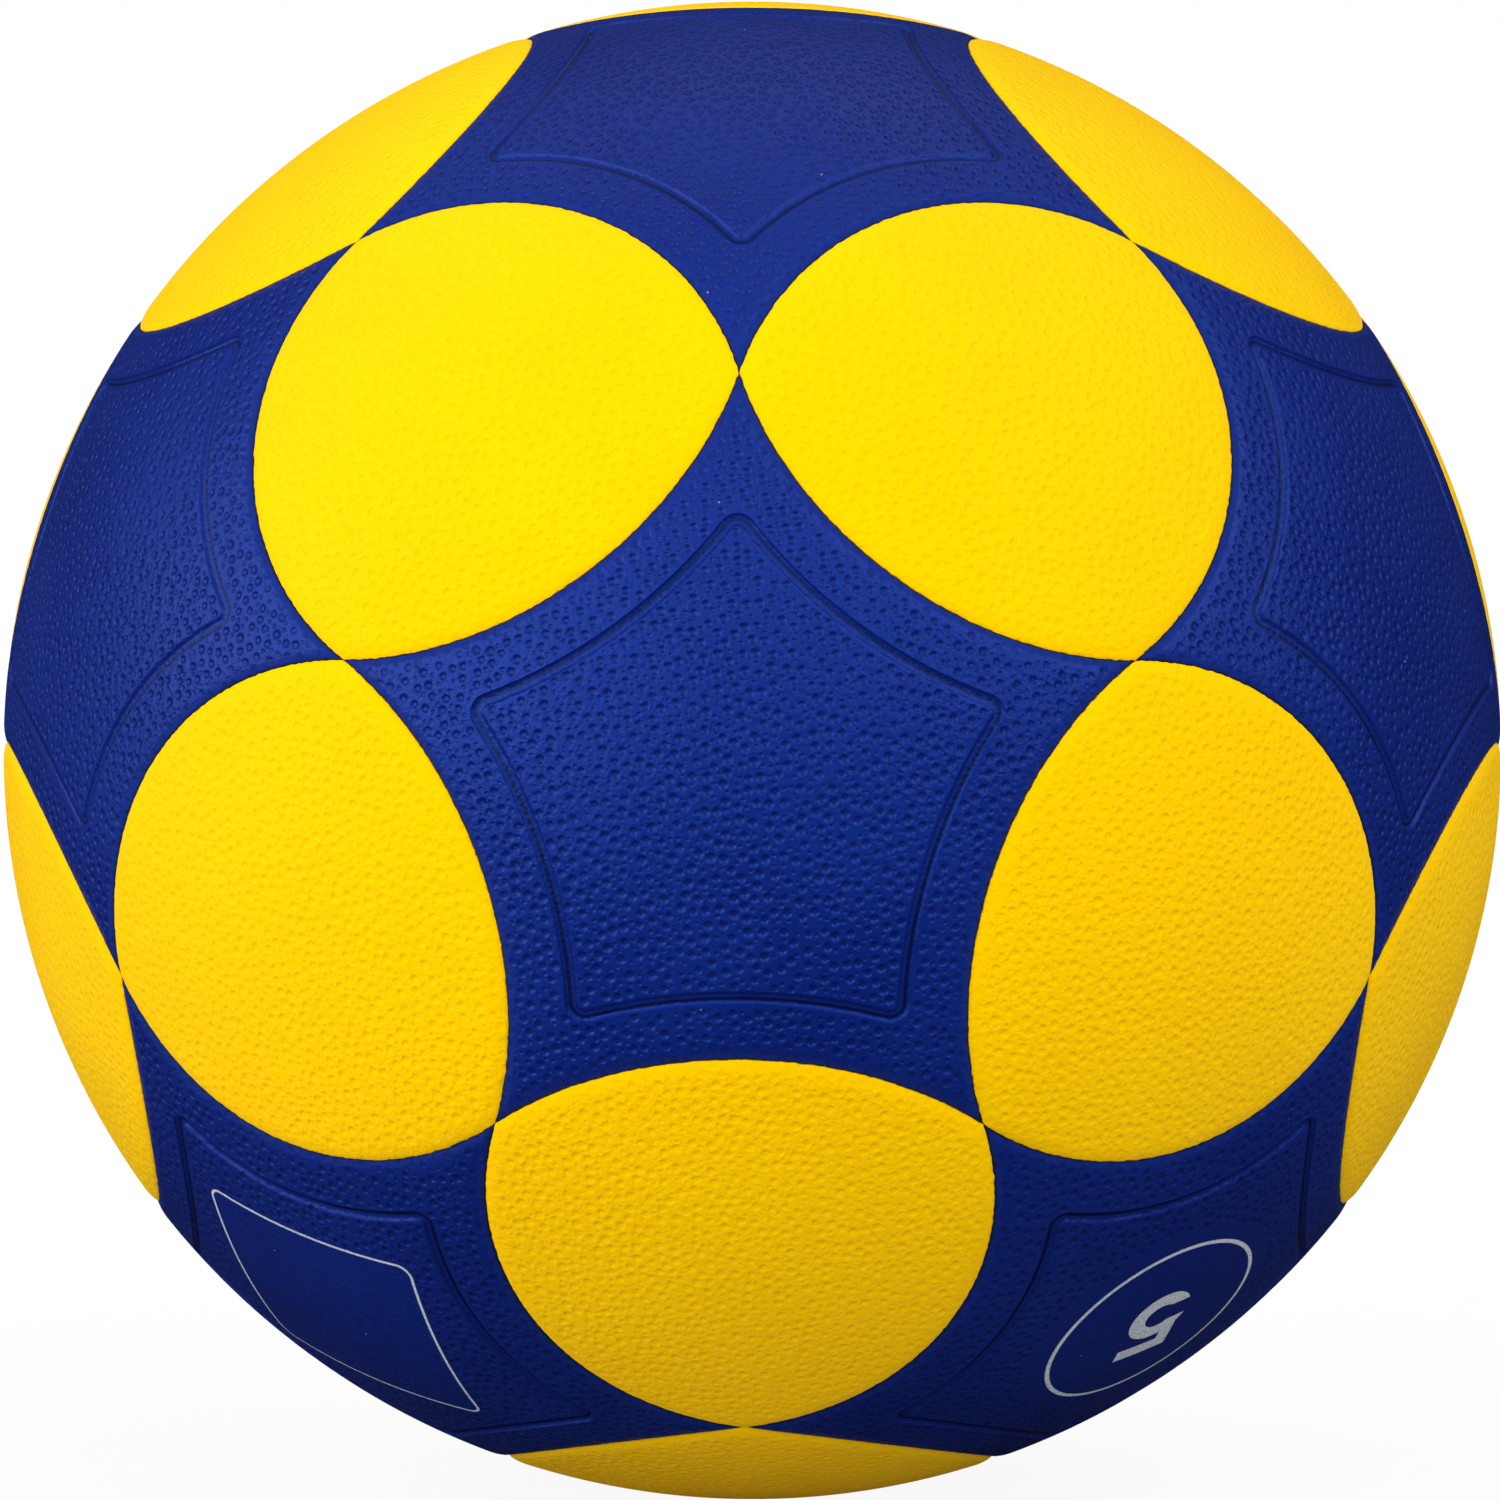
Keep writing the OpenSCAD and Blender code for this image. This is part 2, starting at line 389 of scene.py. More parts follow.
def close_panel(bm, reach, hole_loop=()):
    """Gives a skin its wall and its back. The back ends at the valve's hole where there is one."""
    middle = Vector((0, 0, 1))
    rim = [e for e in bm.edges if e.is_boundary and e not in set(hole_loop)]
    for e in [*rim, *hole_loop]:
        e.smooth = False
    loop = pulled(bm, rim, lambda co: co * BACK_R / co.length)
    for e in loop:
        e.smooth = False
    rings = round(reach * BALL_R / BACK_STEP)
    for left in range(rings, 1, -1):
        share = (left - 1) / left
        loop = pulled(bm, loop, lambda co: middle.slerp(co.normalized(), share) * BACK_R)
    if hole_loop:
        foot_z = math.sqrt(BACK_R**2 - VALVE_HOLE_R**2)
        foot = pulled(bm, hole_loop, lambda co: Vector((co.x, co.y, foot_z)))
        bmesh.ops.bridge_loops(bm, edges=[*loop, *foot])
    else:
        bmesh.ops.edgeloop_fill(bm, edges=loop)
    bmesh.ops.recalc_face_normals(bm, faces=bm.faces[:])


close_panel(star_skin, STAR_TO_CORNER)
close_panel(valve_star_skin, STAR_TO_CORNER, valve_hole)
close_panel(petal_skin, PETAL_TO_CORNER)
open_edges = sum(e.is_boundary for bm in (star_skin, valve_star_skin, petal_skin) for e in bm.edges)
print("three panels closed, with", open_edges, "open edges left")

# %% [markdown]
# ## Three blanks
#
# Towards a seam the surface rolls down by half a millimetre, and a little more at the very edge. A
# bevel would round the rim only as far as its faces reach. A fall that is worked out from the distance
# can be as wide as on the real ball.

# %% Rolled edges
ROLL_W, ROLL_H = 2.8 * MM, 0.46 * MM
LIP_W, LIP_H = 0.55 * MM, 0.13 * MM
HOLE_ROLL_W, HOLE_ROLL_H = 1.2 * MM, 0.35 * MM


def rolled(distance, width, height):
    return height * np.clip(1 - distance / width, 0, 1) ** 2


def edge_fall(inside):
    """How far the surface falls beside the seams. Two seams that meet add up softly."""
    each = rolled(inside, ROLL_W, ROLL_H) + rolled(inside, LIP_W, LIP_H)
    return np.cbrt((each**3).sum(1))


on_a_seam = np.zeros((1, 1))
print("the edge of a panel lies", round(edge_fall(on_a_seam)[0] / MM, 2), "mm below the ball")

# %% [markdown]
# All thirty-two panels come from three blanks: a star, a star with the valve's hole, and a petal. A
# blank keeps the places of its vertices, their distances from seam and groove, and how far each falls
# below the ball. So this slow work is done three times and not thirty-two times. A search tree over the
# skin is kept as well: it will find the vertices near a pit at once.

# %% Make the blanks


class Blank:
    """A panel round +Z before its pits are pressed: a mesh, its skin, and how far the skin falls."""

    def __init__(self, name, bm, axes, side, reach, valve=False):
        self.axes, self.side, self.reach, self.valve = axes, side, reach, valve
        for f in bm.faces:
            f.smooth = True
        self.mesh = bpy.data.meshes.new(name)
        bm.to_mesh(self.mesh)
        bm.free()
        points = np.empty(3 * len(self.mesh.vertices), np.float32)
        self.mesh.vertices.foreach_get("co", points)
        self.points = points.reshape(-1, 3).astype(float)
        self.skin = np.linalg.norm(self.points, axis=1) > BALL_R - COVER_T / 2
        self.measure(self.points[self.skin])
        self.plant_tree()
        print(name, "blank:", self.skin.sum(), "skin vertices of", len(self.points))

    def measure(self, skin):
        """How far the skin is from the seam and the groove, and how far it falls."""
        inside = seam_distances(skin, self.axes, self.side)
        self.seam = inside.min(1)
        self.fall = edge_fall(inside)
        self.groove = np.full(len(skin), -BALL_R)
        if self.side == STAR_SIDE:
            self.groove = groove_distances(skin) - GROOVE_LINES[0]
            self.fall += np.interp(self.groove + GROOVE_LINES[0], GROOVE_LINES, GROOVE_FALL)
        if self.valve:
            from_hole = np.hypot(skin[:, 0], skin[:, 1]) - VALVE_HOLE_R
            self.fall += rolled(from_hole, HOLE_ROLL_W, HOLE_ROLL_H)

    def plant_tree(self):
        skin = np.flatnonzero(self.skin)
        self.tree = kdtree.KDTree(len(skin))
        for i in skin:
            self.tree.insert(self.points[i], int(i))
        self.tree.balance()


star_blank = Blank("star", star_skin, STAR_AXES, STAR_SIDE, STAR_TO_CORNER)
valve_star_blank = Blank("valve_star", valve_star_skin, STAR_AXES, STAR_SIDE, STAR_TO_CORNER, valve=True)
petal_blank = Blank("petal", petal_skin, PETAL_AXES, PETAL_SIDE, PETAL_TO_CORNER)

# %% [markdown]
# ## Pits
#
# The cover is set with round pits of two sizes. They look evenly strewn but never line up. A pattern
# that repeats would show, so the pits are darts: thrown at random, and dropped where they land too
# close to an earlier one. The small pits fill the gaps between the large ones.

# %% Dropping darts that land too close


def strewn(points, gap, others=(), gap_to_others=0):
    """Takes the points in turn, and drops those too close to one that was taken or to another pit."""
    tree = kdtree.KDTree(len(points))
    for i, p in enumerate(points):
        tree.insert(p, i)
    tree.balance()
    left = np.ones(len(points), bool)
    for other in others:
        left[[i for _, i, _ in tree.find_range(other, gap_to_others)]] = False
    taken = []
    for i, p in enumerate(points):
        if left[i]:
            taken.append(i)
            left[[j for _, j, _ in tree.find_range(p, gap)]] = False
    return points[taken]


# %% [markdown]
# No pit crosses the groove or comes near the valve, and the two printed fields are smooth. One field is
# round, the other is a square that is turned on its panel.

# %% Printed fields
RING_PANEL, NAME_PANEL = "star_panel_front_ring_3", "star_panel_front_ring_4"
RING_FIELD_R = 21 * MM
NAME_FIELD_HALF = 19 * MM
NAME_FIELD_AT = (-0.4 * MM, 2.0 * MM)     # its middle, from the middle of the panel
NAME_FIELD_TURN = math.radians(36)


def smooth_field(panel, points):
    """Which points lie in a panel's printed field, where the rubber has no pits."""
    if panel == RING_PANEL:
        return np.hypot(points[:, 0], points[:, 1]) < RING_FIELD_R
    if panel == NAME_PANEL:
        turn = np.array(Matrix.Rotation(-NAME_FIELD_TURN, 2))
        return (np.abs(points[:, :2] @ turn.T - NAME_FIELD_AT) < NAME_FIELD_HALF).all(1)
    return np.zeros(len(points), bool)


# %% [markdown]
# The darts are spread evenly over a cap of the ball: on a sphere, equal steps in height cover equal
# areas. What is left after all the rules is a panel's pits, each with a radius of its own.

# %% The pits of a panel
LARGE_PIT_R, LARGE_PIT_GAP = 0.74 * MM, 1.6 * MM
SMALL_PIT_R, SMALL_PIT_GAP = 0.38 * MM, 1.0 * MM
PIT_GAP_BETWEEN = 1.08 * MM
PIT_SIZES = (0.85, 1.1)                   # no two pits are quite the same size
PIT_TO_SEAM, PIT_TO_HOLE = 0.25 * MM, 2 * MM
PIT_TO_GROOVE = (0.7 * MM, 0.45 * MM)     # outside the groove and inside it
DARTS_PER_MM2 = 5.0


def pits_for(panel, blank, dice):
    """Middles and radii of the pits on a panel, round +Z."""
    cap = math.tau * BALL_R**2 * (1 - math.cos(blank.reach))
    count = int(DARTS_PER_MM2 * cap / MM**2)
    up = dice.uniform(math.cos(blank.reach), 1, count)
    turn = dice.uniform(0, math.tau, count)
    out = np.sqrt(1 - up**2)
    darts = BALL_R * np.column_stack([out * np.cos(turn), out * np.sin(turn), up])
    fits = seam_distances(darts, blank.axes, blank.side).min(1) > PIT_TO_SEAM
    fits &= ~smooth_field(panel, darts)
    if blank.side == STAR_SIDE:
        groove = groove_distances(darts)
        outside, inside = PIT_TO_GROOVE
        fits &= (groove < GROOVE_LINES[0] - outside) | (groove > GROOVE_LINES[-1] + inside)
    if blank.valve:
        fits &= np.hypot(darts[:, 0], darts[:, 1]) > VALVE_HOLE_R + PIT_TO_HOLE
    darts = darts[fits]
    half = len(darts) // 2
    large = strewn(darts[:half], LARGE_PIT_GAP)
    small = strewn(darts[half:], SMALL_PIT_GAP, large, PIT_GAP_BETWEEN)
    radii = np.repeat([LARGE_PIT_R, SMALL_PIT_R], [len(large), len(small)])
    return np.vstack([large, small]), radii * dice.uniform(*PIT_SIZES, len(radii))


# %% [markdown]
# Each pit presses the vertices round its middle into a bowl. The mesh is too coarse for a really round
# bowl, so every corner of a face also remembers which way its pit lies, measured in the pit's radius.
# Between the corners Blender fills in that arrow exactly, and the material can draw a clean round bowl
# from its length.

# %% Arrows to the pits
PIT_HOLD = 1.6                            # a pit owns the skin out to this many radii
FAR_FROM_PITS = 9.0


def nearest_pits(blank, pits, radii):
    """For each vertex of a blank: its pit, and the distance from it in radii of the pit."""
    share = np.full(len(blank.points), FAR_FROM_PITS)
    owner = np.zeros(len(blank.points), int)
    for i, (pit, radius) in enumerate(zip(pits, radii)):
        for _, vertex, distance in blank.tree.find_range(pit, PIT_HOLD * radius):
            if distance / radius < share[vertex]:
                share[vertex] = distance / radius
                owner[vertex] = i
    return owner, share


def arrows_to_pits(blank, mesh, pits, radii, owner, share):
    """For each corner of each face: the arrow to the pit of that face, in radii of the pit."""
    corner = np.empty(len(mesh.loops), int)
    mesh.loops.foreach_get("vertex_index", corner)
    start, total = (np.empty(len(mesh.polygons), int) for _ in range(2))
    mesh.polygons.foreach_get("loop_start", start)
    mesh.polygons.foreach_get("loop_total", total)
    face = np.repeat(np.arange(len(start)), total)
    closest = np.lexsort((share[corner], face))[start]
    pit = np.repeat(owner[corner[closest]], total)
    arrows = (pits[pit] - blank.points[corner]) / radii[pit][:, None]
    arrows[np.repeat(share[corner[closest]], total) >= FAR_FROM_PITS] = (FAR_FROM_PITS, 0, 0)
    return arrows, radii[pit] / LARGE_PIT_R


# %% [markdown]
# The seams of a moulded cover aren't drawn with a compass: they wander a little. A noise that is read
# at the place on the ball moves the panels on both sides of a seam alike, so no gap opens. Without a
# seed this noise would differ from run to run.

# %% Wavy seams
WAVE_W, WAVE_H, WAVE_L = 1.5 * MM, 0.14 * MM, 0.8 * MM
SEED = 5
noise.seed_set(SEED)


def wavy_seams(blank, points):
    """Lets the skin wander a little beside the seams. Both sides of a seam wander alike."""
    skin = np.flatnonzero(blank.skin)
    near = blank.seam < WAVE_W
    for i, seam in zip(skin[near], blank.seam[near]):
        here = Vector(points[i])
        points[i] += (WAVE_H * (1 - seam / WAVE_W)) * np.array(noise.noise_vector(here / WAVE_L))
    points[skin[near]] *= (BALL_R / np.linalg.norm(points[skin[near]], axis=1))[:, None]


# %% [markdown]
# Now a panel can be pressed. Its skin is turned to its place, wanders at the seams, and sinks by its
# fall and its pits. Beside a seam the pits are shallower, as on the real ball. What the material will
# need is stored on the mesh as attributes, which any shader can read by name.

# %% Press one panel
PIT_DEPTH = {STAR_SIDE: 0.13, PETAL_SIDE: 0.1}   # share of a pit's radius
SHALLOW_FROM, SHALLOW_TO = 0.8 * MM, 3.2 * MM
SHALLOW_SHARE = 0.3                       # share of its depth that a pit keeps close to a seam


def store(mesh, name, kind, domain, field, values):
    """Keeps numbers on a mesh, one for each of its points or corners."""
    numbers = mesh.attributes.new(name, kind, domain).data
    numbers.foreach_set(field, values.ravel().astype(np.float32))


def pressed_mesh(panel, blank, place, pits, radii):
    """Mesh of one panel, with its pits, at its place on the ball."""
    owner, share = nearest_pits(blank, pits, radii)
    arrows, sizes = arrows_to_pits(blank, blank.mesh, pits, radii, owner, share)
    bowl = PIT_DEPTH[blank.side] * radii[owner] * np.clip(1 - share**2, 0, 1) ** 2
    bowl = bowl[blank.skin] * np.interp(blank.seam, (SHALLOW_FROM, SHALLOW_TO), (SHALLOW_SHARE, 1))
    points = blank.points @ np.array(place).T
    wavy_seams(blank, points)
    points[blank.skin] *= 1 - ((blank.fall + bowl) / BALL_R)[:, None]
    mesh = blank.mesh.copy()
    mesh.name = panel.replace("panel", "cover")
    mesh.vertices.foreach_set("co", points.ravel().astype(np.float32))
    seam, groove = np.zeros((2, len(points)))
    seam[blank.skin] = blank.seam / MM
    groove[blank.skin] = blank.groove / MM
    store(mesh, "to_pit", "FLOAT_VECTOR", "CORNER", "vector", arrows)
    store(mesh, "pit_size", "FLOAT", "CORNER", "value", sizes)
    store(mesh, "from_seam", "FLOAT", "POINT", "value", seam)
    store(mesh, "in_groove", "FLOAT", "POINT", "value", groove)
    mesh.update()
    return mesh


def press(panel, blank, place, dice):
    """Makes one panel of the cover from its blank, with pits of its own, and hands it to the frame."""
    pits, radii = pits_for(panel, blank, dice)
    mesh = pressed_mesh(panel, blank, place, pits, radii)
    piece = bpy.data.objects.new(mesh.name, mesh)
    bpy.context.collection.objects.link(piece)
    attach(piece, "ball")
    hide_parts(panel)
    return piece, len(pits)


# %% [markdown]
# Now all thirty-two panels are pressed. The dice are seeded, so each panel gets pits of its own and the
# ball still comes out the same every time.

# %% Press all the panels
dice = np.random.default_rng(SEED)
covers = {}
pit_total = 0
for panel, place in [*STARS.items(), *PETALS.items()]:
    blank = petal_blank if panel in PETALS else star_blank
    if panel == "star_panel_valve":
        blank = valve_star_blank
    covers[panel], made = press(panel, blank, place, dice)
    pit_total += made
print(len(covers), "panels with", pit_total, "pits")

# %% [markdown]
# ## The valve
#
# In the middle of the back star sits the valve: a soft rubber stem that is bonded to the bladder by a
# flange, and in it a core with the hole for the pump's needle. Both are turned parts, so each is a half
# section spun round the axis, with its visible edges bevelled. The sizes are those of the CAD part.

# %% Half sections of the valve
STEM_R, STEM_TOP, STEM_END = 4.5, 109.7, 93.7
BORE_R, SEAT_R, SEAT_Z = 2.45, 3.15, 108.25
FLANGE_R, FLANGE_MID_R, FLANGE_OUT, FLANGE_IN = 14.0, 9.5, 106.7, 105.5
CORE_R, HEAD_R, CORE_TOP, HEAD_Z, CORE_END = 2.4, 3.1, 109.5, 108.3, 95.5
CORE_TIP_R, CORE_TIP_Z = 1.6, 98.5
NEEDLE_R, NEEDLE_END, FUNNEL_R, FUNNEL_Z = 1.05, 100.5, 1.8, 108.7


def on_sphere(radius, out):
    return (out, math.sqrt(radius**2 - out**2))


stem_section = [
    (BORE_R, STEM_END), (STEM_R, STEM_END),
    *(on_sphere(FLANGE_IN, out) for out in (STEM_R, FLANGE_MID_R, FLANGE_R)),
    *(on_sphere(FLANGE_OUT, out) for out in (FLANGE_R, FLANGE_MID_R, STEM_R)),
    (STEM_R, STEM_TOP), (SEAT_R, STEM_TOP), (SEAT_R, SEAT_Z), (BORE_R, SEAT_Z),
]
core_section = [
    (0, CORE_END), (CORE_TIP_R, CORE_END), (CORE_R, CORE_TIP_Z), (CORE_R, HEAD_Z),
    (HEAD_R, HEAD_Z), (HEAD_R, CORE_TOP), (FUNNEL_R, CORE_TOP), (NEEDLE_R, FUNNEL_Z),
    (NEEDLE_R, NEEDLE_END), (0, NEEDLE_END),
]
print("half sections:", len(stem_section), "points for the stem,", len(core_section), "for the core")

# %% [markdown]
# `spin` turns a half section into a round body. A Screw modifier would do it too, but here single rings
# are bevelled afterwards, each with its own width, and in a bmesh they can be picked by radius and
# height.

# %% Spin the valve's parts
SPIN_STEPS = 72


def spun(section, closed, rounded):
    """Spins a half section round +Z. Rounded gives the edges to bevel: (radius, height, bevel), in mm."""
    bm = bmesh.new()
    verts = [bm.verts.new((out * MM, 0, up * MM)) for out, up in section]
    edges = [bm.edges.new(pair) for pair in zip(verts, verts[1:] + verts[:1] if closed else verts[1:])]
    bmesh.ops.spin(bm, geom=[*verts, *edges], cent=(0, 0, 0), axis=(0, 0, 1), dvec=(0, 0, 0),
                   angle=math.tau, steps=SPIN_STEPS, use_merge=True)
    bmesh.ops.remove_doubles(bm, verts=bm.verts[:], dist=0.001 * MM)
    bmesh.ops.recalc_face_normals(bm, faces=bm.faces[:])
    for out, up, width in rounded:
        ring = [e for e in bm.edges
                if all(abs(v.co.xy.length - out * MM) < SNAP for v in e.verts)
                and all(abs(v.co.z - up * MM) < SNAP for v in e.verts)]
        bmesh.ops.bevel(bm, geom=ring, offset=width * MM, offset_type="OFFSET", segments=4, profile=0.5,
                        affect="EDGES", material=-1)
    return bm


stem = spun(stem_section, True, [
    (STEM_R, STEM_TOP, 0.4), (SEAT_R, STEM_TOP, 0.3), (STEM_R, STEM_END, 0.4),
    (*on_sphere(FLANGE_OUT, FLANGE_R), 0.3), (*on_sphere(FLANGE_IN, FLANGE_R), 0.3),
])
core = spun(core_section, False, [
    (HEAD_R, CORE_TOP, 0.35), (FUNNEL_R, CORE_TOP, 0.25), (NEEDLE_R, FUNNEL_Z, 0.15),
    (HEAD_R, HEAD_Z, 0.1), (CORE_TIP_R, CORE_END, 0.2),
])
print("valve stem:", len(stem.faces), "faces; valve core:", len(core.faces), "faces")

# %% [markdown]
# The core's tip has a slit that opens for the needle and closes behind it. The triangles of the tip's
# end meet in its middle. They are joined to one face, four slices mark the slit on it, and the small
# face between the slices is pushed in.

# %% Slit in the core's tip
SLIT_W, SLIT_LEN, SLIT_DEEP = 0.2 * MM, 2.0 * MM, 4.0 * MM


def end_faces():
    return [f for f in core.faces if all(abs(v.co.z - CORE_END * MM) < SNAP for v in f.verts)]


def middle_face():
    return min(end_faces(), key=lambda f: f.calc_center_median().xy.length)


bmesh.ops.dissolve_faces(core, faces=end_faces(), use_verts=True)
for axis, half in ((Vector((0, 1, 0)), SLIT_W / 2), (Vector((1, 0, 0)), SLIT_LEN / 2)):
    for side in (1, -1):
        middle = middle_face()
        bmesh.ops.bisect_plane(core, geom=[middle, *middle.edges, *middle.verts], dist=1e-7,
                               plane_co=axis * half * side, plane_no=axis)
pushed = bmesh.ops.extrude_discrete_faces(core, faces=[middle_face()])["faces"][0]
bmesh.ops.translate(core, verts=pushed.verts[:], vec=(0, 0, SLIT_DEEP))
print("slit:", [round(x / MM, 2) for x in (SLIT_W, SLIT_LEN, SLIT_DEEP)], "mm")

# %% [markdown]
# Both parts were modelled round +Z. The same turn that carries the back star to its place carries them
# there. The stem belongs to the ball. The core rides on a body of its own, because it can be pulled
# out.

# %% Put the valve in place
SMOOTH_UP_TO = math.radians(40)


def valve_piece(bm, name, node, body):
    """Turns a spun part to the back of the ball and hands it to the frame."""
    bmesh.ops.rotate(bm, verts=bm.verts[:], cent=(0, 0, 0), matrix=STARS["star_panel_valve"])
    for f in bm.faces:
        f.smooth = True
    mesh = bpy.data.meshes.new(name)
    bm.to_mesh(mesh)
    bm.free()
    mesh.set_sharp_from_angle(angle=SMOOTH_UP_TO)
    piece = bpy.data.objects.new(name, mesh)
    bpy.context.collection.objects.link(piece)
    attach(piece, body)
    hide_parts(node)
    return piece


stem_piece = valve_piece(stem, "turned_valve_stem", "valve_stem", "ball")
core_piece = valve_piece(core, "turned_valve_core", "valve_core", "core")
print("valve:", stem_piece.name, "and", core_piece.name)

# %% [markdown]
# ## Rubber
#
# Moulded rubber has one colour all through, a soft shine and a fine grain. It could be painted in an
# image, but that would blur up close, so it is all worked out in the shader. A few small helpers keep
# the node trees readable: each adds one node and returns the socket that the next one needs.

# %% Small helpers for nodes


def start_material(name):
    """A new material with its Principled shader."""
    material = bpy.data.materials.new(name)
    material.use_nodes = True
    tree = material.node_tree
    return material, tree, tree.nodes["Principled BSDF"]


def add(tree, kind, inputs=(), **settings):
    """Adds a node. Inputs are given by name or number, as a value or as a socket to link."""
    node = tree.nodes.new("ShaderNode" + kind)
    for key, value in settings.items():
        setattr(node, key, value)
    for key, value in dict(inputs).items():
        if isinstance(value, bpy.types.NodeSocket):
            tree.links.new(value, node.inputs[key])
        else:
            node.inputs[key].default_value = value
    return node


def calc(tree, operation, a, b=0.0, c=0.0):
    return add(tree, "Math", {0: a, 1: b, 2: c}, operation=operation).outputs[0]


def off_by(tree, value, middle):
    """How far a value is from a middle, either way."""
    return calc(tree, "ABSOLUTE", calc(tree, "SUBTRACT", value, middle))


def fade(tree, value, start, end, low=0.0, high=1.0):
    """Goes smoothly from low to high while the value goes from start to end."""
    limits = {"Value": value, "From Min": start, "From Max": end, "To Min": low, "To Max": high}
    return add(tree, "MapRange", limits, interpolation_type="SMOOTHSTEP").outputs[0]


def blend(tree, share, a, b):
    """Mixes two colours. The numbers are those of the Mix node's colour sockets."""
    return add(tree, "Mix", {0: share, 6: a, 7: b}, data_type="RGBA").outputs[2]


def grain_of(tree, place, scale, detail):
    """A noise. The larger its scale, the finer its grain."""
    return add(tree, "TexNoise", {"Vector": place, "Scale": scale, "Detail": detail}).outputs["Fac"]


def colour(red, green, blue):
    """A colour as it is seen on screen, 0 to 255, turned into the shader's own numbers."""
    return tuple((c / 255 / 12.92) if c <= 10 else ((c / 255 + 0.055) / 1.055) ** 2.4
                 for c in (red, green, blue)) + (1.0,)


# %% [markdown]
# The cover's colour starts with two close shades mixed by a slow noise, and a fine noise adds darker
# blotches. Shade is painted where light hardly reaches: the floors of the pits, a line along the seams
# and the floor of the groove are darker. The mesh says where those are: the arrows point to the pits,
# and two attributes give the distance from the seam and from the groove's edge.

# %% Colour of the cover
NOISE_SPREAD = (0.3, 0.7)                 # most of a noise lies between these
NOISES = {                                # scale and detail
    "slow": (38.0, 4.0), "uneven": (650.0, 1.0), "fine": (1600.0, 3.0), "grain": (5200.0, 2.0),
}
BLOTCHES, BLOTCH_SHARE = (0.35, 0.75), 0.3
# painted shade in the floor of a pit
PIT_SHADE, PIT_SHADE_SHARE = (0.95, 0.5), 0.8            # in radii of the pit
SMALL_TO_LARGE, SMALL_PIT_SHARE = (0.3, 0.9), 0.05
SEAM_SHADE_W, SEAM_SHARE = 0.45, 2.2                     # in mm, as the mesh gives its distances
GROOVE_SHADES = ((0.74, 0.42, 0.9), (1.65, 0.4, 0.15))   # mm from the edge, half width, strength
FULL_SHADE = 0.1


def read_skin(tree):
    """What the mesh knows: distance from a pit, the pit's size, distance from seam and from groove."""
    arrow = add(tree, "Attribute", attribute_name="to_pit").outputs["Vector"]
    from_pit = add(tree, "VectorMath", {0: arrow}, operation="LENGTH").outputs["Value"]
    return from_pit, *(add(tree, "Attribute", attribute_name=name).outputs["Fac"]
                       for name in ("pit_size", "from_seam", "in_groove"))


def blotches_and_painted_shade(tree, skin, fine, blotch_and_shade_share):
    """Masks of what is darker: random blotches, and painted shade in pits, at seams and in the groove."""
    from_pit, size, seam, groove = skin
    blotches = fade(tree, fine, *BLOTCHES, 0.0, BLOTCH_SHARE * blotch_and_shade_share)
    deep = fade(tree, size, *SMALL_TO_LARGE, SMALL_PIT_SHARE, PIT_SHADE_SHARE * blotch_and_shade_share)
    # painted shade: the floors of the pits are darker, large pits more than small ones
    painted_pit_shade = calc(tree, "MULTIPLY", fade(tree, from_pit, *PIT_SHADE), deep)
    # painted shade: a dark line along each seam
    seams = fade(tree, seam, SEAM_SHADE_W, 0.0, 0.0, SEAM_SHARE * blotch_and_shade_share)
    # painted shade on the floor of the groove and on its inner slope
    creases = [fade(tree, off_by(tree, groove, at), half, FULL_SHADE, 0.0, strength)
               for at, half, strength in GROOVE_SHADES]
    return [blotches, painted_pit_shade, seams, *creases]


# %% [markdown]
# The shine is a little uneven, and dull in the groove and right beside a seam: a glossy edge would
# mirror the panel across the seam. The bump draws each pit as a clean round bowl, shallower beside a
# seam like the one in the mesh, and adds three grains. Its height is in millimetres.

# %% Shine and bump of the cover
DULL_SEAM = (1.8, 0.8)                    # mm from the seam
GROOVE_MIDDLE = 1.0                       # mm from the groove's edge
DULL_GROOVE = (1.6, 1.1, 0.0, 0.6)        # mm from the groove's middle, and how dull
DULL_ROUGHNESS = 0.7
UNEVEN_SHINE = (-0.04, 0.05)
BOWL_RIM, BOWL_FLOOR = 1.08, 0.3          # in radii of the pit
GRAIN_MM = {"uneven": 0.12, "fine": 0.17, "grain": 0.012}


def cover_shine(tree, skin, slow, roughness):
    _, _, seam, groove = skin
    shine = fade(tree, slow, *NOISE_SPREAD, *(roughness + part for part in UNEVEN_SHINE))
    in_groove = fade(tree, off_by(tree, groove, GROOVE_MIDDLE), *DULL_GROOVE)
    dull = calc(tree, "MAXIMUM", fade(tree, seam, *DULL_SEAM), in_groove)
    return calc(tree, "MAXIMUM", shine, calc(tree, "MULTIPLY", dull, DULL_ROUGHNESS))


def cover_bump(tree, skin, noises, pit_mm):
    from_pit, size, seam, _ = skin
    bowl = calc(tree, "MULTIPLY", fade(tree, from_pit, BOWL_RIM, BOWL_FLOOR), size)
    deep = fade(tree, seam, SHALLOW_FROM / MM, SHALLOW_TO / MM, -SHALLOW_SHARE * pit_mm, -pit_mm)
    height = calc(tree, "MULTIPLY", bowl, deep)
    for name, grain_mm in GRAIN_MM.items():
        height = calc(tree, "MULTIPLY_ADD", noises[name], grain_mm, height)
    return add(tree, "Bump", {"Height": height, "Strength": 1.0, "Distance": MM}).outputs["Normal"]


# %% [markdown]
# Now the parts come together in one material. Blue rubber shines in blue, which is what Specular Tint
# is for. Specks of dust come from a Voronoi texture: near the middle of a cell there is a speck. White
# ink can be printed on top, and the grain of the rubber shows through it.

# %% The cover's rubber
DUST_SCALE, DUST_R, DUST_SHARE = 115.0, (0.022, 0.012), 0.5
INK, WORN_INK = colour(205, 212, 218), (0.3, 0.5, 0.35, 1.0)


